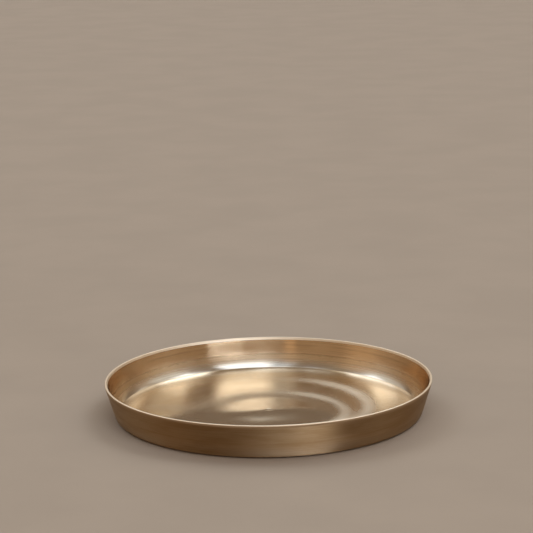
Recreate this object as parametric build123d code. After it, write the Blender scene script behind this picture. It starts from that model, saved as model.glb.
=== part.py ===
from build123d import *
import math
import os

# Round thali plate of bell metal: a floor, a rounded corner, a flared wall and a polished lip. The floor is
# level, but for a low rise round the centre mark and a slight lift towards its edge, and the plate rests on
# the middle of its underside. The metal is divided where the turned finish changes: floor, corner, wall and
# lip. The zones meet face to face, with no gap. The origin is at the centre of the underside, on the table,
# with +Z up.

# Driving dimensions, in millimetres
RIM_DIAMETER = 300.0
PLATE_HEIGHT = 31.5
HEEL_DIAMETER = 276.0
HEEL_RADIUS = 4.0
HEEL_LIFT = 0.8
REST_DIAMETER = 200.0
FLOOR_THICKNESS = 2.1
FLOOR_LEVEL_DIAMETER = 190.0
FLOOR_EDGE_RISE = 1.4
WALL_THICKNESS = 2.1
COVE_RADIUS = 20.0
COVE_REACH = 2.0
LIP_EDGE_RADIUS = 0.8
LIP_BAND_HEIGHT = 1.2
CENTRE_RISE_DIAMETER = 92.0
CENTRE_RISE_HEIGHT = 1.3
CENTRE_MARK_DIAMETER = 8.0
CENTRE_MARK_DEPTH = 0.4

# The lip's two softened edges share the wall's thickness, so each takes less than half of it.
LARGEST_EDGE_SHARE = 0.45

# Section of the metal, as radius from the axis and height above the table
lip_edge = min(LIP_EDGE_RADIUS, LARGEST_EDGE_SHARE * WALL_THICKNESS)
heel_centre = Vector(HEEL_DIAMETER / 2, HEEL_LIFT + HEEL_RADIUS)
outer_lip_centre = Vector(RIM_DIAMETER / 2 - lip_edge, PLATE_HEIGHT - lip_edge)

# The outside of the wall is the straight line that touches both the heel's circle and the lip's outer
# edge. Its taper is the angle it leans outward from upright. out_of_wall points square out of it, and
# up_wall along it.
between_centres = outer_lip_centre - heel_centre
rise_angle = math.atan2(between_centres.Y, between_centres.X)
taper = math.acos((HEEL_RADIUS - lip_edge) / between_centres.length) - rise_angle
out_of_wall = Vector(math.cos(taper), -math.sin(taper))
up_wall = Vector(math.sin(taper), math.cos(taper))
taper_degrees = math.degrees(taper)

# The inside of the wall runs one wall thickness inside that line.
inner_wall_reach = heel_centre.dot(out_of_wall) + HEEL_RADIUS - WALL_THICKNESS


def beside_inner_wall(height, gap):
    """Point at a height, one gap away from the inside of the wall, counted positive into the metal."""
    return Vector((inner_wall_reach + gap + height * math.sin(taper)) / math.cos(taper), height)


def degrees_from(centre, point):
    """Direction from a centre to a point of the section, measured from the outward direction."""
    spoke = point - centre
    return math.degrees(math.atan2(spoke.Y, spoke.X))


# The underside leaves the table level at the edge of the rest, and curves up until it touches the heel.
rest_edge = Vector(REST_DIAMETER / 2, 0)
underside_span = heel_centre.X - rest_edge.X
underside_radius = (underside_span**2 + heel_centre.Y**2 - HEEL_RADIUS**2) / (2 * HEEL_LIFT)
underside_centre = Vector(rest_edge.X, underside_radius)
heel_bottom = heel_centre + (heel_centre - underside_centre).normalized() * HEEL_RADIUS
heel_top = heel_centre + out_of_wall * HEEL_RADIUS

# The cove touches the inside of the wall at its top, and ends at the crease round the floor.
crease = beside_inner_wall(FLOOR_THICKNESS + FLOOR_EDGE_RISE, -COVE_REACH)
cove_rise = math.sqrt(COVE_REACH * (2 * COVE_RADIUS - COVE_REACH))
cove_top = crease + out_of_wall * COVE_REACH + up_wall * cove_rise
cove_centre = cove_top - out_of_wall * COVE_RADIUS

# Where the corner meets the wall, and the wall meets the lip
corner_seam_outside = cove_top + out_of_wall * WALL_THICKNESS
lip_seam_height = PLATE_HEIGHT - lip_edge * (1 + math.sin(taper)) - LIP_BAND_HEIGHT
lip_seam_outside = beside_inner_wall(lip_seam_height, WALL_THICKNESS)
lip_seam_inside = beside_inner_wall(lip_seam_height, 0)
inner_lip_centre = beside_inner_wall(PLATE_HEIGHT - lip_edge, lip_edge)

# Upper side of the floor
level_edge = Vector(FLOOR_LEVEL_DIAMETER / 2, FLOOR_THICKNESS)
rise_foot = Vector(CENTRE_RISE_DIAMETER / 2, FLOOR_THICKNESS)
mark_edge = Vector(CENTRE_MARK_DIAMETER / 2, FLOOR_THICKNESS + CENTRE_RISE_HEIGHT)
mark_bottom = Vector(0, mark_edge.Y - CENTRE_MARK_DEPTH)


def arc(centre, radius, start_degrees, end_degrees):
    """Circular arc in the section, with angles measured from the outward direction."""
    middle_degrees = (start_degrees + end_degrees) / 2
    points = [
        centre + Vector(math.cos(math.radians(angle)), math.sin(math.radians(angle))) * radius
        for angle in (start_degrees, middle_degrees, end_degrees)
    ]
    return ThreePointArc(*points)


def rising_arc(foot, top):
    """Circular arc in the section that leaves its foot level and rises to its top."""
    across, up = top.X - foot.X, top.Y - foot.Y
    radius = (across**2 + up**2) / (2 * up)
    centre = Vector(foot.X, foot.Y + radius)
    return arc(centre, radius, -90, degrees_from(centre, top))


def turned(*edges):
    """Solid made by turning a closed outline of the section once round the plate's axis."""
    outline = make_face(list(edges))
    return revolve(Plane.XZ * outline, axis=Axis.Z)


def floor_disc():
    """Floor, with the low rise and the shallow round mark that the lathe leaves at its centre."""
    return turned(
        Line((0, 0), rest_edge),
        rising_arc(rest_edge, heel_bottom),
        Line(heel_bottom, crease),
        rising_arc(level_edge, crease),
        Line(level_edge, rise_foot),
        rising_arc(rise_foot, mark_edge),
        rising_arc(mark_bottom, mark_edge),
        Line(mark_bottom, (0, 0)),
    )


def corner_ring():
    """Rounded corner: the heel and the foot of the wall outside, and the cove inside."""
    return turned(
        arc(heel_centre, HEEL_RADIUS, degrees_from(heel_centre, heel_bottom), -taper_degrees),
        Line(heel_top, corner_seam_outside),
        Line(corner_seam_outside, cove_top),
        arc(cove_centre, COVE_RADIUS, -taper_degrees, degrees_from(cove_centre, crease)),
        Line(crease, heel_bottom),
    )


def side_wall():
    """Straight flared wall between the corner and the lip."""
    return turned(
        Line(corner_seam_outside, lip_seam_outside),
        Line(lip_seam_outside, lip_seam_inside),
        Line(lip_seam_inside, cove_top),
        Line(cove_top, corner_seam_outside),
    )


def rim_lip():
    """Polished lip: a narrow band of the wall, with a flat top between two softened edges."""
    outer_edge = arc(outer_lip_centre, lip_edge, -taper_degrees, 90)
    inner_edge = arc(inner_lip_centre, lip_edge, 90, 180 - taper_degrees)
    return turned(
        Line(lip_seam_outside, outer_edge @ 0),
        outer_edge,
        Line(outer_edge @ 1, inner_edge @ 0),
        inner_edge,
        Line(inner_edge @ 1, lip_seam_inside),
        Line(lip_seam_inside, lip_seam_outside),
    )


PIECES = {
    "floor_disc": floor_disc,
    "corner_ring": corner_ring,
    "side_wall": side_wall,
    "rim_lip": rim_lip,
}

os.makedirs("parts", exist_ok=True)
for node, make in PIECES.items():
    export_step(make(), f"parts/{node}.step")

print(f"wall taper {taper_degrees:.2f} degrees")
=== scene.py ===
import math
from collections import namedtuple

import bpy
import numpy as np
from mathutils import Matrix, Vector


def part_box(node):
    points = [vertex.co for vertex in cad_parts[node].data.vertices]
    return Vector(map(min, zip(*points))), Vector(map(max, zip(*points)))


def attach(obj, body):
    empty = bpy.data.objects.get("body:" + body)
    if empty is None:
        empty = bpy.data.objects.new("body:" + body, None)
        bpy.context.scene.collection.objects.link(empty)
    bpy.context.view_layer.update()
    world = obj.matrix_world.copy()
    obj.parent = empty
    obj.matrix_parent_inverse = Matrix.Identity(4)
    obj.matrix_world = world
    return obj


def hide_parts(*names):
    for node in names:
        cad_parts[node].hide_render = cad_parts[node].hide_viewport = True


bl_info = {
    "name": "Turned Thali Plate",
    "version": (1, 0, 0),
    "blender": (4, 5, 0),
    "location": "View3D > Sidebar > Thali",
    "description": "Builds a turned bell-metal thali plate and a plain studio around it",
    "category": "Object",
}

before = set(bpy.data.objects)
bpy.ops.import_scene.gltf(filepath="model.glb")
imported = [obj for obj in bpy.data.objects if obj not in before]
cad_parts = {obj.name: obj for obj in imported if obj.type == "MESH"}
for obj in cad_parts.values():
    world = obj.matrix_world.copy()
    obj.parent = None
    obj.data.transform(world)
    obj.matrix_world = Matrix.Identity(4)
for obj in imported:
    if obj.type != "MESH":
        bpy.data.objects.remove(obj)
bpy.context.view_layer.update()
lip_node_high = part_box("rim_lip")[1]

MILLIMETRE = 0.001

# Turned meshes: faces round the plate, steps along the runs of the section, the name of the bake map, and
# the digits to which points of the section have to agree to be one
SEGMENTS_ROUND = 360
UNDERSIDE_STEPS = 8
FLOOR_STEPS = 40
MARK_STEPS = 8
HEEL_STEPS = 24
FOOT_STEPS = 10
COVE_STEPS = 48
WALL_STEPS = 24
LIP_BAND_STEPS = 3
LIP_OUTER_STEPS = 24
LIP_TOP_STEPS = 2
LIP_INNER_STEPS = 20
BAKE_MAP = "OFBake"
SAME_POINT_DIGITS = 9
LEVEL_DOWN = -math.pi / 2
LEVEL_UP = math.pi / 2

# Handwork: the share of the floor's reach over which the beats die out, and the step that finds slopes
BEAT_FADE = 0.2
SLOPE_STEP = 0.01 * MILLIMETRE

# Finish: where burnished metal turns into brushed metal up the wall, duller bands in the polish, and marks
BURNISH_LOW = 6 * MILLIMETRE
BURNISH_HIGH = 15 * MILLIMETRE
BURNISH_DRIFT = 3 * MILLIMETRE
SATIN_REACH = 17 * MILLIMETRE
SATIN_DULLING = 0.28
BELT_HEIGHT = 13 * MILLIMETRE
BELT_REACH = 9 * MILLIMETRE
BELT_DULLING = 0.16
LINE_DRIFT = 1.2 * MILLIMETRE
LINE_BROWNING = 2.4
BROAD_LINE_SHARE = 0.4
LEAST_WORN_LINE = 0.35
NOISE_MIDDLE = 0.5
OUTER_CRISPNESS = 0.2
BROWNED_DULLING = 0.06
GRAIN_QUARTER_TURN = 0.25

# Studio: faces round the floor, its gap under the plate, its shades and the camera's sensor in millimetres
STUDIO_FLOOR_SIDES = 96
STUDIO_FLOOR_GAP = 0.05 * MILLIMETRE
STUDIO_FLOOR_ROUGHNESS = 0.85
DARKER_MOTTLE = 0.97
LIGHTER_MOTTLE = 1.02
CAMERA_SENSOR = 36.0
CAMERA_REACH = 100.0

Run = namedtuple("Run", "points normals")
Beat = namedtuple("Beat", "right back spread height")
Wave = namedtuple("Wave", "count share phase")
Finish = namedtuple(
    "Finish", "brushed burnished tarnish roughness outer_roughness grain spacing line_depth browning"
    " outer_browning smears")
Ring = namedtuple("Ring", "back radius")
Panel = namedtuple("Panel", "azimuth elevation width height softness glow light")

# Rises and hollows that beating left in the floor, in millimetres: the place to the right of the centre and
# to the back of it, how far the beat spreads, and how high it stands
BEATS = (
    Beat(-20, -19, 17, 1.35),
    Beat(33, -20, 26, 0.9),
    Beat(74, -43, 20, 1.1),
    Beat(85, -66, 22, 0.65),
    Beat(111, 16, 35, -1.05),
    Beat(51, 46, 30, -0.8),
    Beat(-19, 55, 38, -1.0),
    Beat(-88, 41, 27, -0.95),
    Beat(-102, 2, 16, -0.8),
)

# Waves of the lip, which add up to its stray from a true circle and to its sway up and down
STRAY_WAVES = (Wave(2, 1.0, -0.6), Wave(3, 0.5, 1.1), Wave(5, 0.3, -2.0))
SWAY_WAVES = (Wave(2, 1.0, 0.9), Wave(3, 0.4, -0.4))

# Duller rings in the polish of the floor, in millimetres: how far the ring's centre lies to the back of the
# rim's centre, and its radius
SATIN_RINGS = (Ring(-12, 70), Ring(10, 92))

# Light from a window, from lamps and from warm walls, and the dim room around
DAYLIGHT = (0.90, 0.98, 1.12)
LAMPLIGHT = (1.04, 1.00, 0.94)
EMBERLIGHT = (1.35, 0.95, 0.62)
ROOM_AROUND = (0.36, 0.255, 0.17, 1)
ROOM_BEHIND = (0.18, 0.13, 0.09, 1)
ROOM_ABOVE = (0.28, 0.23, 0.175, 1)

# Soft panels round the plate, in degrees. Azimuth counts from the camera's side towards the right. The
# softness of an edge is its share of half the panel. A later panel covers an earlier one, and the dimmest
# panels are gaps between lights.
PANELS = (
    Panel(-8, 52, 36, 28, 0.7, 0.6, DAYLIGHT),
    Panel(-10, 77, 80, 16, 0.5, 2.0, DAYLIGHT),
    Panel(26, 52, 56, 32, 0.35, 2.0, DAYLIGHT),
    Panel(-44, 48, 30, 32, 0.5, 0.15, EMBERLIGHT),
    Panel(60, 40, 22, 40, 0.5, 0.15, EMBERLIGHT),
    Panel(-17, 20, 8, 30, 0.7, 0.42, EMBERLIGHT),
    Panel(-78, 22, 30, 30, 0.5, 0.38, EMBERLIGHT),
    Panel(16, 0, 44, 8, 0.6, 9.0, DAYLIGHT),
    Panel(32, 0, 26, 9, 0.15, 22.0, DAYLIGHT),
    Panel(180, 46, 110, 36, 0.15, 1.0, LAMPLIGHT),
    Panel(-118, 31, 50, 20, 0.4, 0.6, LAMPLIGHT),
    Panel(-126, 48, 46, 22, 0.2, 2.1, DAYLIGHT),
    Panel(-72, 69, 44, 14, 0.3, 1.0, DAYLIGHT),
    Panel(96, 32, 34, 26, 0.4, 0.62, LAMPLIGHT),
    Panel(115, 57, 60, 20, 0.2, 2.7, DAYLIGHT),
)


class ThaliSizes(bpy.types.PropertyGroup):
    """Sizes of the plate's section."""

    rim_diameter: bpy.props.FloatProperty(
        name="Rim diameter", description="Across the lip, from outside to outside",
        default=2 * lip_node_high.x, unit="LENGTH")
    height: bpy.props.FloatProperty(
        name="Height", description="From the table to the top of the lip",
        default=lip_node_high.z, unit="LENGTH")
    heel_diameter: bpy.props.FloatProperty(
        name="Heel diameter", description="Across the lowest part of the outside corner",
        default=0.276, unit="LENGTH")
    heel_radius: bpy.props.FloatProperty(
        name="Heel radius", description="Outside corner between the underside and the wall",
        default=0.004, unit="LENGTH")
    heel_lift: bpy.props.FloatProperty(
        name="Heel lift", description="Gap between the heel and the table",
        default=0.0008, unit="LENGTH")
    rest_diameter: bpy.props.FloatProperty(
        name="Rest diameter", description="Across the flat middle of the underside",
        default=0.200, unit="LENGTH")
    floor_thickness: bpy.props.FloatProperty(
        name="Floor thickness", description="Metal in the level part of the floor",
        default=0.0021, unit="LENGTH")
    floor_level_diameter: bpy.props.FloatProperty(
        name="Level floor diameter", description="Across the part of the floor that lies level",
        default=0.190, unit="LENGTH")
    floor_edge_rise: bpy.props.FloatProperty(
        name="Floor edge rise", description="How far the floor lifts towards the crease",
        default=0.0014, unit="LENGTH")
    wall_thickness: bpy.props.FloatProperty(
        name="Wall thickness", description="Metal in the flared wall",
        default=0.0021, unit="LENGTH")
    cove_radius: bpy.props.FloatProperty(
        name="Cove radius", description="Inside curve from the wall down to the crease round the floor",
        default=0.020, unit="LENGTH")
    cove_reach: bpy.props.FloatProperty(
        name="Cove reach", description="How far the crease stands in from the line of the wall",
        default=0.0020, unit="LENGTH")
    lip_edge_radius: bpy.props.FloatProperty(
        name="Lip edge radius", description="Softened edges of the lip",
        default=0.0008, unit="LENGTH")
    lip_band_height: bpy.props.FloatProperty(
        name="Lip band height", description="Polished band of the wall below the lip's edges",
        default=0.0012, unit="LENGTH")
    centre_rise_diameter: bpy.props.FloatProperty(
        name="Centre rise diameter", description="Across the low rise in the middle of the floor",
        default=0.092, unit="LENGTH")
    centre_rise_height: bpy.props.FloatProperty(
        name="Centre rise height", description="Height of the low rise in the middle of the floor",
        default=0.0013, unit="LENGTH")
    mark_diameter: bpy.props.FloatProperty(
        name="Centre mark diameter", description="Mark that the lathe leaves in the floor",
        default=0.008, unit="LENGTH")
    mark_depth: bpy.props.FloatProperty(
        name="Centre mark depth", description="Depth of the lathe's mark",
        default=0.0004, unit="LENGTH")


class ThaliHandwork(bpy.types.PropertyGroup):
    """How far the beaten and turned metal departs from a true round."""

    beating: bpy.props.FloatProperty(
        name="Beating", description="Strength of the rises and hollows left in the floor",
        default=1.0, subtype="FACTOR")
    hollow_depth: bpy.props.FloatProperty(
        name="Hollow depth", description="Depth of the shallow turned hollow round the rise in the floor",
        default=0.00033, unit="LENGTH")
    hollow_radius: bpy.props.FloatProperty(
        name="Hollow radius", description="From the plate's axis to the deepest line of the hollow",
        default=0.042, unit="LENGTH")
    hollow_spread: bpy.props.FloatProperty(
        name="Hollow spread", description="How far the hollow spreads to each side of its deepest line",
        default=0.010, unit="LENGTH")
    out_of_round: bpy.props.FloatProperty(
        name="Out of round", description="How far the lip strays from a true circle",
        default=0.00025, unit="LENGTH")
    lip_sway: bpy.props.FloatProperty(
        name="Lip sway", description="How far the lip rises and falls",
        default=0.0002, unit="LENGTH")
    front_lift: bpy.props.FloatProperty(
        name="Front lift", description="How far the lip stands higher at the front than at the back",
        default=0.0008, unit="LENGTH")
    centre_stray: bpy.props.FloatProperty(
        name="Centre stray", description="How far the lathe's centre lies to the front of the rim's centre",
        default=0.008, unit="LENGTH")
    centre_spread: bpy.props.FloatProperty(
        name="Centre spread", description="How far round the centre the floor follows its stray",
        default=0.025, unit="LENGTH")


class ThaliFinish(bpy.types.PropertyGroup):
    """Colours of the bell metal."""

    brushed: bpy.props.FloatVectorProperty(
        name="Brushed metal", description="Clean metal up the wall",
        default=(0.80, 0.62, 0.41), subtype="COLOR")
    burnished: bpy.props.FloatVectorProperty(
        name="Burnished metal", description="Paler metal on the floor and low in the corner",
        default=(0.86, 0.78, 0.65), subtype="COLOR")
    polished: bpy.props.FloatVectorProperty(
        name="Polished metal", description="Bright metal along the lip",
        default=(0.96, 0.82, 0.63), subtype="COLOR")
    # Tarnish colour: real browning in patches and between the turned lines, and on the outer faces also
    # painted shade for the dark table that they reflect.
    tarnish: bpy.props.FloatVectorProperty(
        name="Tarnish", description="Browned metal, mostly on the outside",
        default=(0.40, 0.25, 0.12), subtype="COLOR")


class ThaliStudio(bpy.types.PropertyGroup):
    """The floor and the camera."""

    floor_colour: bpy.props.FloatVectorProperty(
        name="Floor colour", description="Plain pale floor",
        default=(0.45, 0.36, 0.27), subtype="COLOR")
    floor_radius: bpy.props.FloatProperty(
        name="Floor radius", description="Reach of the studio floor", default=14.0, unit="LENGTH")
    camera_distance: bpy.props.FloatProperty(
        name="Camera distance", description="From the plate's centre to the camera",
        default=1.850, unit="LENGTH")
    camera_elevation: bpy.props.FloatProperty(
        name="Camera elevation", description="Angle of the camera above the table, seen from the plate",
        default=math.radians(16.86), subtype="ANGLE")
    camera_pitch: bpy.props.FloatProperty(
        name="Camera pitch", description="Angle of the camera's aim below level",
        default=math.radians(12.73), subtype="ANGLE")
    camera_roll: bpy.props.FloatProperty(
        name="Camera roll", description="Turn of the camera about its aim",
        default=math.radians(-0.97), subtype="ANGLE")
    camera_lens: bpy.props.FloatProperty(
        name="Camera lens", description="Focal length in millimetres", default=135.1, unit="CAMERA")


# The plate's section

class Section:
    """Where the plate's zones begin and end, as radius from the axis and height above the table."""

    def __init__(self, sizes):
        edge = sizes.lip_edge_radius
        heel = sizes.heel_radius
        self.heel_centre = np.array([sizes.heel_diameter / 2, sizes.heel_lift + heel])
        self.outer_lip_centre = np.array([sizes.rim_diameter / 2 - edge, sizes.height - edge])
        # The outside of the wall touches both the heel's circle and the lip's outer edge.
        across, up = self.outer_lip_centre - self.heel_centre
        self.taper = math.acos((heel - edge) / math.hypot(across, up)) - math.atan2(up, across)
        self.out_of_wall = np.array([math.cos(self.taper), -math.sin(self.taper)])
        up_wall = np.array([math.sin(self.taper), math.cos(self.taper)])
        self.inner_reach = self.heel_centre @ self.out_of_wall + heel - sizes.wall_thickness
        # The underside leaves the table level, and curves up until it touches the heel.
        self.rest_edge = np.array([sizes.rest_diameter / 2, 0.0])
        span, rise = self.heel_centre - self.rest_edge
        underside_radius = (span ** 2 + rise ** 2 - heel ** 2) / (2 * sizes.heel_lift)
        from_underside = self.heel_centre - self.rest_edge - np.array([0.0, underside_radius])
        self.heel_bottom = self.heel_centre + heel * from_underside / np.linalg.norm(from_underside)
        self.heel_top = self.heel_centre + heel * self.out_of_wall
        # The cove touches the inside of the wall at its top, and ends at the crease round the floor.
        crease_height = sizes.floor_thickness + sizes.floor_edge_rise
        self.crease = self.beside_inner_wall(crease_height, -sizes.cove_reach)
        cove_rise = math.sqrt(sizes.cove_reach * (2 * sizes.cove_radius - sizes.cove_reach))
        self.cove_top = self.crease + sizes.cove_reach * self.out_of_wall + cove_rise * up_wall
        self.cove_centre = self.cove_top - sizes.cove_radius * self.out_of_wall
        self.corner_seam_outside = self.cove_top + sizes.wall_thickness * self.out_of_wall
        self.inner_lip_centre = self.beside_inner_wall(sizes.height - edge, edge)
        seam_height = sizes.height - edge * (1 + math.sin(self.taper)) - sizes.lip_band_height
        self.lip_seam_outside = self.beside_inner_wall(seam_height, sizes.wall_thickness)
        self.lip_seam_inside = self.beside_inner_wall(seam_height, 0.0)
        self.level_edge = np.array([sizes.floor_level_diameter / 2, sizes.floor_thickness])
        self.rise_foot = np.array([sizes.centre_rise_diameter / 2, sizes.floor_thickness])
        mark_height = sizes.floor_thickness + sizes.centre_rise_height
        self.mark_edge = np.array([sizes.mark_diameter / 2, mark_height])
        self.mark_bottom = np.array([0.0, mark_height - sizes.mark_depth])

    def beside_inner_wall(self, height, gap):
        """Point at a height, one gap away from the inside of the wall, counted positive into the metal."""
        radius = (self.inner_reach + gap + height * math.sin(self.taper)) / math.cos(self.taper)
        return np.array([radius, height])


def direction(centre, point):
    """Angle from a centre to a point of the section, measured from the outward direction."""
    across, up = point - centre
    return math.atan2(up, across)


def straight(start, end, steps=1):
    """Run of the section along a straight line, with the metal on its left."""
    shares = np.linspace(0, 1, steps + 1)[:, None]
    start, end = np.array(start, float), np.array(end, float)
    along = (end - start) / np.linalg.norm(end - start)
    normal = np.array([along[1], -along[0]])
    return Run(start + (end - start) * shares, np.repeat(normal[None], steps + 1, axis=0))


def bend(centre, radius, start, end, steps, hollow=False):
    """Run of the section along an arc. A hollow one has the metal outside it."""
    angles = np.linspace(start, end, steps + 1)
    spokes = np.stack([np.cos(angles), np.sin(angles)], axis=1)
    return Run(centre + radius * spokes, -spokes if hollow else spokes)


def rising(foot, top, steps, hollow=True):
    """Run of the section along the arc that leaves its foot level and rises to its top."""
    across, up = top - foot
    radius = (across ** 2 + up ** 2) / (2 * up)
    centre = foot + np.array([0.0, radius])
    return bend(centre, radius, LEVEL_DOWN, direction(centre, top), steps, hollow)


def backwards(run):
    """The same run, from its end to its start."""
    return Run(run.points[::-1], run.normals[::-1])


def joined(*runs):
    """One smooth run from runs that meet end to end in the same direction."""
    points = [runs[0].points] + [run.points[1:] for run in runs[1:]]
    normals = [runs[0].normals] + [run.normals[1:] for run in runs[1:]]
    return Run(np.concatenate(points), np.concatenate(normals))


# Handwork: small departures from a true round, as offsets of points in the frame

def ripple(waves, angle):
    """Sum of the waves at an angle round the plate."""
    return sum(wave.share * np.cos(wave.count * angle + wave.phase) for wave in waves)


def handmade_field(sizes, handwork):
    """Offset of points of the plate: the wall strays more the higher it is, and the base stays flat."""
    def field(points):
        angle = np.arctan2(points[:, 1], points[:, 0])
        share = np.clip(points[:, 2] / sizes.height, 0, 1) ** 2
        stray = handwork.out_of_round * share * ripple(STRAY_WAVES, angle)
        sway = handwork.lip_sway * ripple(SWAY_WAVES, angle)
        lift = handwork.front_lift * (1 - np.sin(angle)) / 2
        return np.stack([stray * np.cos(angle), stray * np.sin(angle), share * (sway + lift)], axis=1)
    return field


def floor_field(section, handwork):
    """Offset of the floor's upper side: a turned hollow, the beats and the stray of the lathe's centre."""
    def field(points):
        x, y = points[:, 0], points[:, 1]
        radius = np.hypot(x, y)
        from_hollow = (radius - handwork.hollow_radius) / handwork.hollow_spread
        relief = -handwork.hollow_depth * np.exp(-from_hollow ** 2 / 2)
        for beat in BEATS:
            gap = np.hypot(x - beat.right * MILLIMETRE, y - beat.back * MILLIMETRE)
            swell = np.exp(-(gap / (beat.spread * MILLIMETRE)) ** 2 / 2)
            relief = relief + handwork.beating * beat.height * MILLIMETRE * swell
        # The hollow and the beats die out at the crease.
        fade = np.clip((1 - radius / section.crease[0]) / BEAT_FADE, 0, 1)
        fade = fade * fade * (3 - 2 * fade)
        forward = handwork.centre_stray * np.exp(-(radius / handwork.centre_spread) ** 2 / 2)
        return np.stack([0 * x, -forward, relief * fade], axis=1)
    return field


def shaped(points, normals, field):
    """Points moved by the field, and the normals of the surface after the move."""
    tilt = np.zeros_like(normals)
    for axis in range(3):
        nudge = np.zeros(3)
        nudge[axis] = SLOPE_STEP
        slope = (field(points + nudge) - field(points - nudge)) / (2 * SLOPE_STEP)
        tilt[:, axis] = (slope * normals).sum(axis=1)
    turned = normals - tilt
    return points + field(points), turned / np.linalg.norm(turned, axis=1, keepdims=True)


# Turned meshes

def turn_point(radius_height, normal):
    """The ring of points and the ring of normals that one point of the section sweeps."""
    angles = np.linspace(0, 2 * math.pi, SEGMENTS_ROUND, endpoint=False)
    cos, sin = np.cos(angles), np.sin(angles)
    radius, height = radius_height
    ring = np.stack([radius * cos, radius * sin, np.full_like(cos, height)], axis=1)
    facing = np.stack([normal[0] * cos, normal[0] * sin, np.full_like(cos, normal[1])], axis=1)
    return ring, facing


def turned_mesh(name, runs, fields):
    """Closed mesh made by turning runs of the section that follow each other round it.

    Each run has its own list of fields, which move its points. Normals are those of the true surface, so
    neighbouring zones shade as one piece of metal. The bake map is unrolled: angle across, section up.
    """
    vertices, faces, face_normals, face_places = [], [], [], []
    lengths = [np.linalg.norm(np.diff(run.points, axis=0), axis=1) for run in runs]
    whole = sum(length.sum() for length in lengths)
    travelled = 0.0
    rows = {}

    def row_of(key, ring):
        if key not in rows:
            on_axis = key[0] == 0
            first = len(vertices)
            vertices.extend(ring[:1] if on_axis else ring)
            step = 0 if on_axis else 1
            rows[key] = [first + step * j for j in range(SEGMENTS_ROUND)]
        return rows[key]

    for run, length, run_fields in zip(runs, lengths, fields):
        sweep = []
        for point, normal in zip(run.points, run.normals):
            ring, facing = turn_point(point, normal)
            for field in run_fields:
                ring, facing = shaped(ring, facing, field)
            sweep.append((row_of(tuple(np.round(point, SAME_POINT_DIGITS)), ring), facing))
        for index, span in enumerate(length):
            (row_a, facing_a), (row_b, facing_b) = sweep[index], sweep[index + 1]
            low, high = travelled / whole, (travelled + span) / whole
            travelled += span
            for j in range(SEGMENTS_ROUND):
                k = (j + 1) % SEGMENTS_ROUND
                left, right = j / SEGMENTS_ROUND, (j + 1) / SEGMENTS_ROUND
                corners = [
                    (row_a[j], facing_a[j], (left, low)),
                    (row_a[k], facing_a[k], (right, low)),
                    (row_b[k], facing_b[k], (right, high)),
                    (row_b[j], facing_b[j], (left, high)),
                ]
                kept = [c for i, c in enumerate(corners) if c[0] != corners[i - 1][0]]
                faces.append([c[0] for c in kept])
                face_normals.extend(c[1] for c in kept)
                face_places.extend(c[2] for c in kept)

    mesh = bpy.data.meshes.new(name)
    mesh.from_pydata([tuple(v) for v in vertices], [], faces)
    places = mesh.uv_layers.new(name=BAKE_MAP)
    places.uv.foreach_set("vector", np.array(face_places, np.float32).ravel())
    mesh.polygons.foreach_set("use_smooth", [True] * len(mesh.polygons))
    mesh.normals_split_custom_set([tuple(n) for n in face_normals])
    mesh.update()
    if mesh.validate(clean_customdata=False):
        raise RuntimeError(f"{name} came out with bad faces")
    return mesh


def add_piece(name, mesh, material, node):
    """Puts a turned mesh into the scene in place of the node it stands for."""
    mesh.materials.append(material)
    piece = bpy.data.objects.new(name, mesh)
    bpy.context.scene.collection.objects.link(piece)
    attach(piece, "root")
    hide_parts(node)


# Shader groups that the finishes share

class NodeSheet:
    """Short calls for placing and linking shader nodes."""

    def __init__(self, tree):
        self.tree = tree

    def add(self, kind, **settings):
        node = self.tree.nodes.new(kind)
        for name, value in settings.items():
            setattr(node, name, value)
        return node

    def feed(self, socket, value):
        """Links a socket, or sets the input to a plain value."""
        if isinstance(value, bpy.types.NodeSocket):
            self.tree.links.new(value, socket)
        else:
            socket.default_value = value

    def math(self, operation, *values, clamp=False):
        node = self.add("ShaderNodeMath", operation=operation, use_clamp=clamp)
        for socket, value in zip(node.inputs, values):
            self.feed(socket, value)
        return node.outputs[0]

    def vector(self, operation, *values):
        node = self.add("ShaderNodeVectorMath", operation=operation)
        for socket, value in zip(node.inputs, values):
            self.feed(socket, value)
        return node.outputs["Value" if operation in ("DOT_PRODUCT", "DISTANCE") else "Vector"]

    def split(self, vector):
        node = self.add("ShaderNodeSeparateXYZ")
        self.feed(node.inputs[0], vector)
        return node.outputs

    def noise(self, dimensions, place, scale=1.0, detail=2.0, roughness=0.5, distortion=0.0):
        node = self.add("ShaderNodeTexNoise", noise_dimensions=dimensions)
        self.feed(node.inputs["W" if dimensions == "1D" else "Vector"], place)
        node.inputs["Scale"].default_value = scale
        node.inputs["Detail"].default_value = detail
        node.inputs["Roughness"].default_value = roughness
        node.inputs["Distortion"].default_value = distortion
        return node.outputs["Fac"]

    def fit(self, value, start, end, lowest=0.0):
        """Smooth step of a value, which is lowest at the start and one at the end."""
        node = self.add("ShaderNodeMapRange", interpolation_type="SMOOTHSTEP")
        for name, setting in (("Value", value), ("From Min", start), ("From Max", end),
                              ("To Min", lowest), ("To Max", 1.0)):
            self.feed(node.inputs[name], setting)
        return node.outputs["Result"]

    def mix(self, share, first, second):
        node = self.add("ShaderNodeMix", data_type="RGBA")
        colours = [socket for socket in node.inputs if socket.type == "RGBA"]
        self.feed(node.inputs["Factor"], share)
        self.feed(colours[0], first)
        self.feed(colours[1], second)
        return next(socket for socket in node.outputs if socket.type == "RGBA")

    def group(self, tree, **values):
        node = self.add("ShaderNodeGroup", node_tree=tree)
        for name, value in values.items():
            self.feed(node.inputs[name.capitalize()], value)
        return node.outputs


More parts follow.
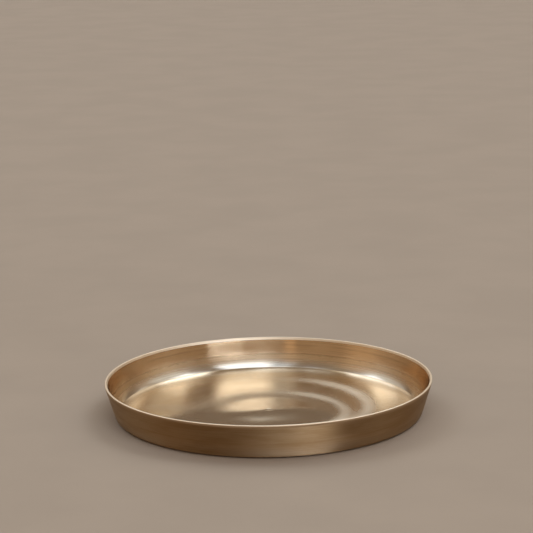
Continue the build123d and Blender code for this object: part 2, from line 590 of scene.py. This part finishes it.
def new_group(name, inputs, outputs):
    """Empty shader group with named sockets, and its sheet, inputs and outputs."""
    tree = bpy.data.node_groups.new(name, "ShaderNodeTree")
    for label, kind in inputs:
        tree.interface.new_socket(label, in_out="INPUT", socket_type=kind)
    for label, kind in outputs:
        tree.interface.new_socket(label, in_out="OUTPUT", socket_type=kind)
    sheet = NodeSheet(tree)
    return tree, sheet, sheet.add("NodeGroupInput").outputs, sheet.add("NodeGroupOutput").inputs


def places_round_the_plate(sheet):
    """The place on the plate, the level spoke towards it, and its path across the turning lines."""
    place = sheet.add("ShaderNodeTexCoord").outputs["Object"]
    level = sheet.vector("MULTIPLY", place, (1, 1, 0))
    spoke = sheet.vector("NORMALIZE", level)
    path = sheet.math("ADD", sheet.vector("DOT_PRODUCT", level, spoke), sheet.split(place)["Z"])
    return place, spoke, path


def streaks(sheet, spoke, path, around, across):
    """Place for noise whose marks run long round the plate and short across the turning lines."""
    upright = sheet.add("ShaderNodeCombineXYZ")
    sheet.feed(upright.inputs["Z"], sheet.math("MULTIPLY", path, across))
    return sheet.vector("MULTIPLY_ADD", spoke, (around, around, around), upright.outputs[0])


def turning_lines_group():
    """Fine rings that the lathe leaves, which run round the floor and the wall."""
    tree, sheet, given, result = new_group(
        "Turning lines",
        [("Spacing", "NodeSocketFloat")],
        [("Height", "NodeSocketFloat"), ("Lines", "NodeSocketFloat")])
    place, spoke, path = places_round_the_plate(sheet)
    drift = sheet.noise("3D", place, scale=14.0, detail=1.0)
    strayed = sheet.math("MULTIPLY_ADD", drift, LINE_DRIFT, path)
    count = sheet.math("DIVIDE", strayed, given["Spacing"])
    fine = sheet.noise("1D", count, detail=1.0)
    broad = sheet.noise("1D", count, scale=0.17, detail=1.0)
    wear = sheet.noise("3D", streaks(sheet, spoke, path, around=4, across=120))
    worn = sheet.fit(wear, start=0.35, end=0.65, lowest=LEAST_WORN_LINE)
    crests = sheet.math("SUBTRACT", fine, NOISE_MIDDLE)
    swells = sheet.math("SUBTRACT", broad, NOISE_MIDDLE)
    relief = sheet.math("MULTIPLY_ADD", swells, BROAD_LINE_SHARE, crests)
    sheet.feed(result["Height"], sheet.math("MULTIPLY", relief, worn))
    sheet.feed(result["Lines"], sheet.math("MULTIPLY", sheet.fit(fine, start=0.42, end=0.6), worn))
    return tree


def burnishing_group():
    """Colour of clean metal: burnished and pale low in the dish, and brushed further up the wall."""
    tree, sheet, given, result = new_group(
        "Burnishing",
        [("Brushed", "NodeSocketColor"), ("Burnished", "NodeSocketColor")],
        [("Colour", "NodeSocketColor")])
    place, spoke, path = places_round_the_plate(sheet)
    drift = sheet.noise("3D", streaks(sheet, spoke, path, around=5, across=60))
    height = sheet.math("MULTIPLY_ADD", drift, BURNISH_DRIFT, sheet.split(place)["Z"])
    share = sheet.fit(height, start=BURNISH_LOW, end=BURNISH_HIGH)
    sheet.feed(result["Colour"], sheet.mix(share, given["Burnished"], given["Brushed"]))
    return tree


def outer_face_group():
    """One on faces that look out from the plate or down, and zero on faces that look into the dish."""
    tree, sheet, _, result = new_group("Outer face", [], [("Mask", "NodeSocketFloat")])
    _, spoke, _ = places_round_the_plate(sheet)
    facing = sheet.add("ShaderNodeNewGeometry").outputs["Normal"]
    outward = sheet.vector("DOT_PRODUCT", spoke, facing)
    outward_or_down = sheet.math("SUBTRACT", outward, sheet.split(facing)["Z"])
    sheet.feed(result["Mask"], sheet.fit(outward_or_down, start=0.2, end=0.8))
    return tree


def tarnish_group():
    """Browning of the metal in soft patches drawn out round the plate and between the turned lines, plus a
    browning of the outer faces that is partly tarnish and partly painted shade for the dark, shadowed table
    they reflect.
    """
    tree, sheet, given, result = new_group(
        "Tarnish",
        [("Metal", "NodeSocketColor"), ("Tarnish", "NodeSocketColor"),
         ("Amount", "NodeSocketFloat"), ("Outer", "NodeSocketFloat"), ("Lines", "NodeSocketFloat")],
        [("Colour", "NodeSocketColor"), ("Mask", "NodeSocketFloat")])
    _, spoke, path = places_round_the_plate(sheet)
    along = streaks(sheet, spoke, path, around=3, across=90)
    clouds = sheet.noise("3D", along, detail=4.0, roughness=0.6, distortion=0.4)
    patches = sheet.fit(clouds, start=0.38, end=0.72)
    shade = sheet.math("MULTIPLY_ADD", given["Lines"], LINE_BROWNING, patches)
    mask = sheet.math("MULTIPLY_ADD", shade, given["Amount"], given["Outer"], clamp=True)
    sheet.feed(result["Colour"], sheet.mix(mask, given["Metal"], given["Tarnish"]))
    sheet.feed(result["Mask"], mask)
    return tree


def smears_group():
    """Faint cloudy smears from handling."""
    tree, sheet, _, result = new_group("Smears", [], [("Mask", "NodeSocketFloat")])
    place = sheet.add("ShaderNodeTexCoord").outputs["Object"]
    clouds = sheet.noise("3D", place, scale=31.0, detail=3.0, distortion=1.2)
    sheet.feed(result["Mask"], sheet.fit(clouds, start=0.38, end=0.7))
    return tree


def band(sheet, value, middle, reach):
    """One where a value is at the middle of a band, and zero further away than its reach."""
    gap = sheet.math("ABSOLUTE", sheet.math("SUBTRACT", value, middle))
    return sheet.fit(gap, start=reach, end=0.0)


def satin_belt_group():
    """Duller belt in the polish, where the wall bends into the cove."""
    tree, sheet, _, result = new_group("Satin belt", [], [("Dulling", "NodeSocketFloat")])
    place = sheet.add("ShaderNodeTexCoord").outputs["Object"]
    belt = band(sheet, sheet.split(place)["Z"], BELT_HEIGHT, BELT_REACH)
    sheet.feed(result["Dulling"], sheet.math("MULTIPLY", belt, BELT_DULLING))
    return tree


def shared_group(name):
    """One of the shader groups, built the first time that a finish asks for it."""
    makers = {
        "Turning lines": turning_lines_group,
        "Burnishing": burnishing_group,
        "Outer face": outer_face_group,
        "Tarnish": tarnish_group,
        "Smears": smears_group,
        "Satin belt": satin_belt_group,
    }
    return bpy.data.node_groups.get(name) or makers[name]()


# Finishes

def satin_rings(sheet):
    """Duller rings in the polish of the floor, which fade away towards the left."""
    place, spoke, _ = places_round_the_plate(sheet)
    level = sheet.vector("MULTIPLY", place, (1, 1, 0))
    mask = 0.0
    for ring in SATIN_RINGS:
        radius = sheet.vector("DISTANCE", level, (0, ring.back * MILLIMETRE, 0))
        soft = band(sheet, radius, ring.radius * MILLIMETRE, SATIN_REACH)
        mask = sheet.math("MULTIPLY_ADD", soft, soft, mask)
    to_the_right = sheet.vector("DOT_PRODUCT", spoke, (1, 0, 0))
    worn = sheet.fit(to_the_right, start=-0.2, end=0.9)
    return sheet.math("MULTIPLY", sheet.math("MULTIPLY", mask, worn), SATIN_DULLING)


def satin_belt(sheet):
    """The belt at the foot of the wall, from the shader group that the finishes share."""
    return sheet.group(shared_group("Satin belt"))["Dulling"]


def bell_metal(name, finish, satin=None):
    """Turned bell metal. The grain runs round the plate and stretches reflections across it."""
    material = bpy.data.materials.new(name)
    material.use_nodes = True
    sheet = NodeSheet(material.node_tree)
    shader = material.node_tree.nodes["Principled BSDF"]
    lines = sheet.group(shared_group("Turning lines"), spacing=finish.spacing)
    outer = sheet.group(shared_group("Outer face"))["Mask"]
    crispness = sheet.math("MULTIPLY_ADD", outer, OUTER_CRISPNESS - 1, 1.0)
    smears = sheet.group(shared_group("Smears"))["Mask"]
    burnishing = sheet.group(
        shared_group("Burnishing"), brushed=(*finish.brushed, 1), burnished=(*finish.burnished, 1))
    # The outer faces are browned towards the tarnish colour: partly tarnish, partly painted shade standing
    # in for the shadowed table that the outside reflects.
    browning = sheet.group(
        shared_group("Tarnish"), metal=burnishing["Colour"], tarnish=(*finish.tarnish, 1),
        amount=finish.browning,
        outer=sheet.math("MULTIPLY", outer, finish.outer_browning),
        lines=sheet.math("MULTIPLY", lines["Lines"], crispness))
    dulled = sheet.math("MULTIPLY_ADD", smears, finish.smears, finish.roughness)
    if satin:
        dulled = sheet.math("ADD", satin(sheet), dulled)
    worn = sheet.math("MULTIPLY_ADD", outer, finish.outer_roughness - finish.roughness, dulled)
    sheet.feed(shader.inputs["Base Color"], browning["Colour"])
    roughness = sheet.math("MULTIPLY_ADD", browning["Mask"], BROWNED_DULLING, worn, clamp=True)
    sheet.feed(shader.inputs["Roughness"], roughness)
    shader.inputs["Metallic"].default_value = 1.0
    shader.inputs["Anisotropic"].default_value = finish.grain
    shader.inputs["Anisotropic Rotation"].default_value = GRAIN_QUARTER_TURN
    tangent = sheet.add("ShaderNodeTangent", direction_type="RADIAL", axis="Z")
    sheet.feed(shader.inputs["Tangent"], tangent.outputs[0])
    bump = sheet.add("ShaderNodeBump")
    bump.inputs["Distance"].default_value = finish.line_depth
    sheet.feed(bump.inputs["Height"], sheet.math("MULTIPLY", lines["Height"], crispness))
    sheet.feed(shader.inputs["Normal"], bump.outputs[0])
    return material


def burnished_floor_finish(colours):
    return bell_metal("burnished_floor", Finish(
        brushed=colours.brushed, burnished=colours.burnished, tarnish=colours.brushed, roughness=0.13,
        outer_roughness=0.4, grain=0.3, spacing=0.9 * MILLIMETRE, line_depth=0.0006 * MILLIMETRE,
        browning=0.2, outer_browning=0.6, smears=0.03), satin_rings)


def brushed_corner_finish(colours):
    return bell_metal("brushed_corner", Finish(
        brushed=colours.brushed, burnished=colours.burnished, tarnish=colours.tarnish, roughness=0.14,
        outer_roughness=0.5, grain=1.0, spacing=2.2 * MILLIMETRE, line_depth=0.01 * MILLIMETRE,
        browning=0.10, outer_browning=0.86, smears=0.02), satin_belt)


def brushed_wall_finish(colours):
    return bell_metal("brushed_wall", Finish(
        brushed=colours.brushed, burnished=colours.burnished, tarnish=colours.tarnish, roughness=0.12,
        outer_roughness=0.5, grain=1.0, spacing=2.2 * MILLIMETRE, line_depth=0.08 * MILLIMETRE,
        browning=0.16, outer_browning=0.86, smears=0.02), satin_belt)


def polished_lip_finish(colours):
    return bell_metal("polished_lip", Finish(
        brushed=colours.polished, burnished=colours.polished, tarnish=colours.tarnish, roughness=0.5,
        outer_roughness=0.5, grain=0.0, spacing=0.6 * MILLIMETRE, line_depth=0.0002 * MILLIMETRE,
        browning=0.03, outer_browning=0.86, smears=0.02))


# Studio

def lay_floor(studio):
    """Plain pale floor, a hair below the plate's underside."""
    material = bpy.data.materials.new("studio_floor")
    material.use_nodes = True
    sheet = NodeSheet(material.node_tree)
    shader = material.node_tree.nodes["Principled BSDF"]
    place = sheet.add("ShaderNodeTexCoord").outputs["Object"]
    clouds = sheet.noise("3D", place, scale=9.0, detail=4.0)
    mottle = sheet.fit(clouds, start=0.3, end=0.7)
    darker = (*(DARKER_MOTTLE * c for c in studio.floor_colour), 1)
    lighter = (*(LIGHTER_MOTTLE * c for c in studio.floor_colour), 1)
    sheet.feed(shader.inputs["Base Color"], sheet.mix(mottle, darker, lighter))
    shader.inputs["Roughness"].default_value = STUDIO_FLOOR_ROUGHNESS
    angles = [2 * math.pi * i / STUDIO_FLOOR_SIDES for i in range(STUDIO_FLOOR_SIDES)]
    rim = [(studio.floor_radius * math.cos(a), studio.floor_radius * math.sin(a), 0.0) for a in angles]
    mesh = bpy.data.meshes.new("studio_floor")
    mesh.from_pydata(rim, [], [list(range(STUDIO_FLOOR_SIDES))])
    mesh.materials.append(material)
    floor = bpy.data.objects.new("studio_floor", mesh)
    floor.location.z = -STUDIO_FLOOR_GAP
    bpy.context.scene.collection.objects.link(floor)


def panel_mask(sheet, sight, panel):
    """One inside an upright panel and zero outside it, for a direction of sight."""
    turn = math.radians(panel.azimuth)
    ahead = sheet.vector("DOT_PRODUCT", sight, (math.sin(turn), -math.cos(turn), 0))
    across = sheet.vector("DOT_PRODUCT", sight, (math.cos(turn), math.sin(turn), 0))
    swing = sheet.math("ARCTAN2", across, ahead)
    elevation = sheet.math("ARCSINE", sheet.split(sight)["Z"])
    lift = sheet.math("SUBTRACT", elevation, math.radians(panel.elevation))
    masks = []
    for angle, size in ((swing, panel.width), (lift, panel.height)):
        reach = math.radians(size / 2)
        outside, inside = reach * (1 + panel.softness), reach * (1 - panel.softness)
        masks.append(sheet.fit(sheet.math("ABSOLUTE", angle), start=outside, end=inside))
    return sheet.math("MULTIPLY", *masks)


def light_room():
    """Soft light from a dim room with bright panels."""
    world = bpy.data.worlds.new("studio_room")
    world.use_nodes = True
    sheet = NodeSheet(world.node_tree)
    sight = sheet.add("ShaderNodeTexCoord").outputs["Generated"]
    towards = sheet.split(sight)
    behind = sheet.fit(towards["Y"], start=0.3, end=0.8)
    above = sheet.fit(towards["Z"], start=0.3, end=0.9)
    colour = sheet.mix(above, sheet.mix(behind, ROOM_AROUND, ROOM_BEHIND), ROOM_ABOVE)
    for panel in PANELS:
        light = (*(panel.glow * c for c in panel.light), 1)
        colour = sheet.mix(panel_mask(sheet, sight, panel), colour, light)
    sheet.feed(world.node_tree.nodes["Background"].inputs["Color"], colour)
    bpy.context.scene.world = world


def place_camera(studio):
    """Camera in front of the plate, a little above the table."""
    data = bpy.data.cameras.new("camera")
    data.sensor_width = CAMERA_SENSOR
    data.lens = studio.camera_lens
    data.clip_end = CAMERA_REACH
    camera = bpy.data.objects.new("camera", data)
    distance, elevation = studio.camera_distance, studio.camera_elevation
    place = Matrix.Translation((0, -distance * math.cos(elevation), distance * math.sin(elevation)))
    pitch = Matrix.Rotation(math.pi / 2 - studio.camera_pitch, 4, "X")
    roll = Matrix.Rotation(studio.camera_roll, 4, "Z")
    camera.matrix_world = place @ pitch @ roll
    bpy.context.scene.collection.objects.link(camera)
    bpy.context.scene.camera = camera


# Operators

class THALI_OT_floor(bpy.types.Operator):
    """Turns the floor, with its low rise, centre mark and underside"""

    bl_idname = "thali.floor"
    bl_label = "Burnished floor"

    def execute(self, context):
        scene = context.scene
        sizes, section = scene.thali_sizes, Section(scene.thali_sizes)
        underside = joined(
            straight((0.0, 0.0), section.rest_edge, UNDERSIDE_STEPS),
            rising(section.rest_edge, section.heel_bottom, UNDERSIDE_STEPS, hollow=False),
        )
        upper_side = joined(
            backwards(rising(section.level_edge, section.crease, FLOOR_STEPS)),
            straight(section.level_edge, section.rise_foot, FLOOR_STEPS),
            rising(section.rise_foot, section.mark_edge, FLOOR_STEPS),
        )
        centre_mark = backwards(rising(section.mark_bottom, section.mark_edge, MARK_STEPS))
        runs = [underside, straight(section.heel_bottom, section.crease), upper_side, centre_mark]
        made = handmade_field(sizes, scene.thali_handwork)
        relief = floor_field(section, scene.thali_handwork)
        mesh = turned_mesh("burnished_floor", runs, [[made], [made], [made, relief], [made, relief]])
        finish = burnished_floor_finish(scene.thali_finish)
        add_piece("burnished_floor", mesh, finish, "floor_disc")
        return {"FINISHED"}


class THALI_OT_corner(bpy.types.Operator):
    """Turns the rounded corner, heel outside and cove inside"""

    bl_idname = "thali.corner"
    bl_label = "Rounded corner"

    def execute(self, context):
        scene = context.scene
        sizes, section = scene.thali_sizes, Section(scene.thali_sizes)
        wall = -section.taper
        heel_start = direction(section.heel_centre, section.heel_bottom)
        crease_end = direction(section.cove_centre, section.crease)
        outside = joined(
            bend(section.heel_centre, sizes.heel_radius, heel_start, wall, HEEL_STEPS),
            straight(section.heel_top, section.corner_seam_outside, FOOT_STEPS),
        )
        runs = [
            outside,
            straight(section.corner_seam_outside, section.cove_top),
            bend(section.cove_centre, sizes.cove_radius, wall, crease_end, COVE_STEPS, hollow=True),
            straight(section.crease, section.heel_bottom),
        ]
        made = handmade_field(sizes, scene.thali_handwork)
        mesh = turned_mesh("rounded_corner", runs, [[made]] * len(runs))
        finish = brushed_corner_finish(scene.thali_finish)
        add_piece("rounded_corner", mesh, finish, "corner_ring")
        return {"FINISHED"}


class THALI_OT_wall(bpy.types.Operator):
    """Turns the flared wall between the corner and the lip"""

    bl_idname = "thali.wall"
    bl_label = "Flared wall"

    def execute(self, context):
        scene = context.scene
        sizes, section = scene.thali_sizes, Section(scene.thali_sizes)
        runs = [
            straight(section.corner_seam_outside, section.lip_seam_outside, WALL_STEPS),
            straight(section.lip_seam_outside, section.lip_seam_inside),
            straight(section.lip_seam_inside, section.cove_top, WALL_STEPS),
            straight(section.cove_top, section.corner_seam_outside),
        ]
        made = handmade_field(sizes, scene.thali_handwork)
        mesh = turned_mesh("flared_wall", runs, [[made]] * len(runs))
        finish = brushed_wall_finish(scene.thali_finish)
        add_piece("flared_wall", mesh, finish, "side_wall")
        return {"FINISHED"}


class THALI_OT_lip(bpy.types.Operator):
    """Turns the polished lip with its two softened edges"""

    bl_idname = "thali.lip"
    bl_label = "Polished lip"

    def execute(self, context):
        scene = context.scene
        sizes, section = scene.thali_sizes, Section(scene.thali_sizes)
        edge, wall = sizes.lip_edge_radius, -section.taper
        outer = bend(section.outer_lip_centre, edge, wall, LEVEL_UP, LIP_OUTER_STEPS)
        inner = bend(section.inner_lip_centre, edge, LEVEL_UP, math.pi + wall, LIP_INNER_STEPS)
        over_the_top = joined(
            straight(section.lip_seam_outside, outer.points[0], LIP_BAND_STEPS),
            outer,
            straight(outer.points[-1], inner.points[0], LIP_TOP_STEPS),
            inner,
            straight(inner.points[-1], section.lip_seam_inside, LIP_BAND_STEPS),
        )
        runs = [over_the_top, straight(section.lip_seam_inside, section.lip_seam_outside)]
        made = handmade_field(sizes, scene.thali_handwork)
        mesh = turned_mesh("polished_lip", runs, [[made]] * len(runs))
        finish = polished_lip_finish(scene.thali_finish)
        add_piece("polished_lip", mesh, finish, "rim_lip")
        return {"FINISHED"}


class THALI_OT_stage(bpy.types.Operator):
    """Lays the studio floor, sets the light and places the camera"""

    bl_idname = "thali.stage"
    bl_label = "Studio"

    def execute(self, context):
        studio = context.scene.thali_studio
        lay_floor(studio)
        light_room()
        place_camera(studio)
        context.scene.view_settings.view_transform = "Standard"
        return {"FINISHED"}


# Sidebar and registration

class THALI_PT_sidebar(bpy.types.Panel):
    """Sizes, finish and building steps of the plate"""

    bl_idname = "THALI_PT_sidebar"
    bl_label = "Thali Plate"
    bl_space_type = "VIEW_3D"
    bl_region_type = "UI"
    bl_category = "Thali"

    def draw(self, context):
        for group in (getattr(context.scene, name) for name in PROPERTY_GROUPS):
            box = self.layout.box()
            for prop in group.__annotations__:
                box.prop(group, prop)
        for operator in BUILD_STEPS:
            self.layout.operator(operator.bl_idname)


PROPERTY_GROUPS = {
    "thali_sizes": ThaliSizes,
    "thali_handwork": ThaliHandwork,
    "thali_finish": ThaliFinish,
    "thali_studio": ThaliStudio,
}
BUILD_STEPS = (THALI_OT_stage, THALI_OT_floor, THALI_OT_corner, THALI_OT_wall, THALI_OT_lip)


def register():
    for name, group in PROPERTY_GROUPS.items():
        bpy.utils.register_class(group)
        setattr(bpy.types.Scene, name, bpy.props.PointerProperty(type=group))
    for operator in BUILD_STEPS:
        bpy.utils.register_class(operator)
    bpy.utils.register_class(THALI_PT_sidebar)


def unregister():
    bpy.utils.unregister_class(THALI_PT_sidebar)
    for operator in reversed(BUILD_STEPS):
        bpy.utils.unregister_class(operator)
    for name, group in reversed(PROPERTY_GROUPS.items()):
        delattr(bpy.types.Scene, name)
        bpy.utils.unregister_class(group)


def main():
    register()
    bpy.ops.thali.stage()
    bpy.ops.thali.floor()
    bpy.ops.thali.corner()
    bpy.ops.thali.wall()
    bpy.ops.thali.lip()


if __name__ == "__main__":
    main()
